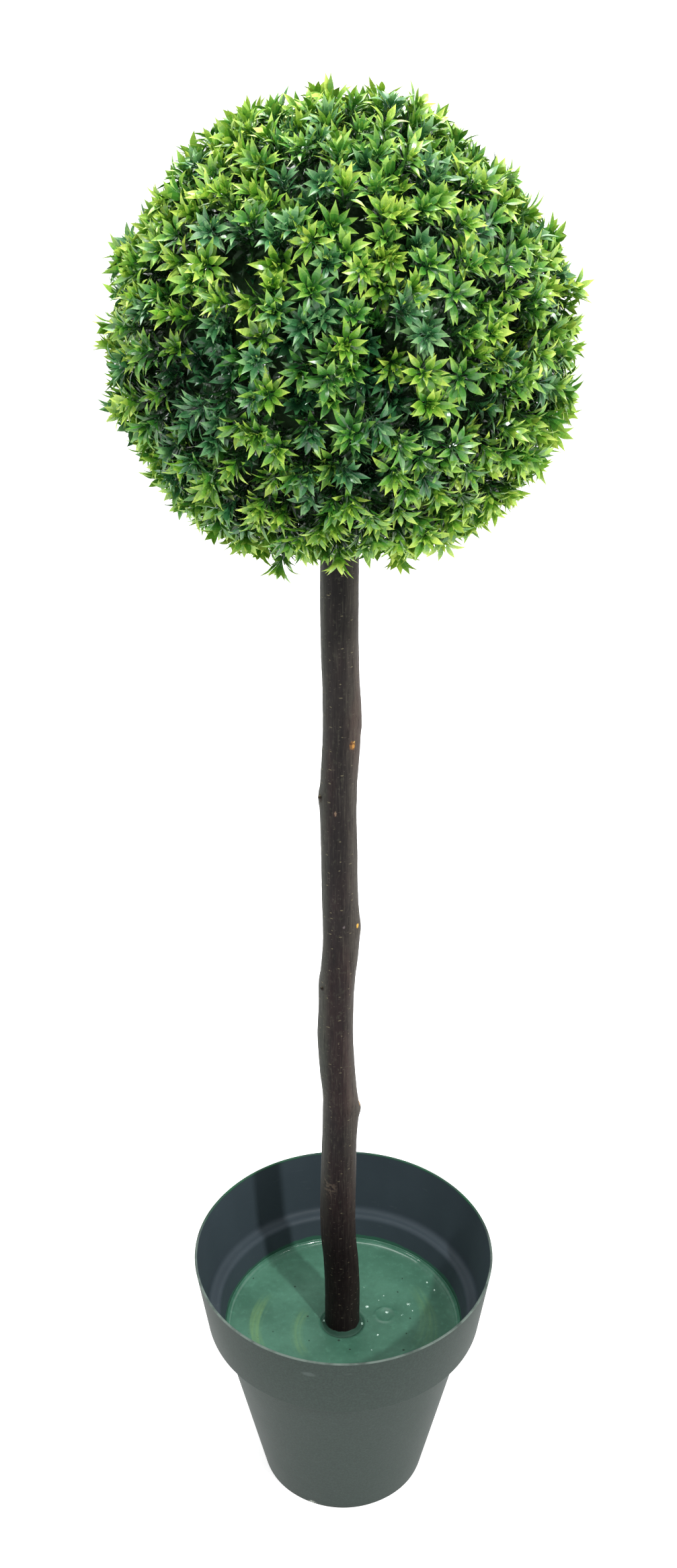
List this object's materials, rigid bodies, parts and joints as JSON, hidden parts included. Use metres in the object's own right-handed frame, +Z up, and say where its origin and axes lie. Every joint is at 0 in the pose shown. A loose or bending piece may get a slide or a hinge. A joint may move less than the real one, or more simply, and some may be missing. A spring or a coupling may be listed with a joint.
{
  "type": "artificial lollipop topiary in a pot",
  "caption": "Artificial lollipop topiary: a clipped ball of moulded leaves on a slightly crooked wooden stick, set in painted cement in a collared plastic pot.",
  "frame": {"origin": "centre of the pot's flat underside, where it stands", "axes": "+Z up the stick, +X to the tree's right as seen from the front, the front looks along -Y"},
  "size_m": [0.3995, 0.3931, 1.5016],
  "materials": {
    "pot_plastic": "matte",
    "painted_cement": "satin",
    "bark": "matte",
    "core_plastic": "matte",
    "leaves": "satin"
  },
  "bodies": {
    "root": {"pot": "pot_plastic", "cement": "painted_cement", "trunk": "bark", "core_lower": "core_plastic", "core_upper": "core_plastic", "foliage_crown": "leaves", "foliage_upper_1": "leaves", "foliage_upper_2": "leaves", "foliage_upper_3": "leaves", "foliage_upper_4": "leaves", "foliage_upper_5": "leaves", "foliage_lower_1": "leaves", "foliage_lower_2": "leaves", "foliage_lower_3": "leaves", "foliage_lower_4": "leaves", "foliage_lower_5": "leaves", "foliage_skirt": "leaves"}
  },
  "joints": []
}
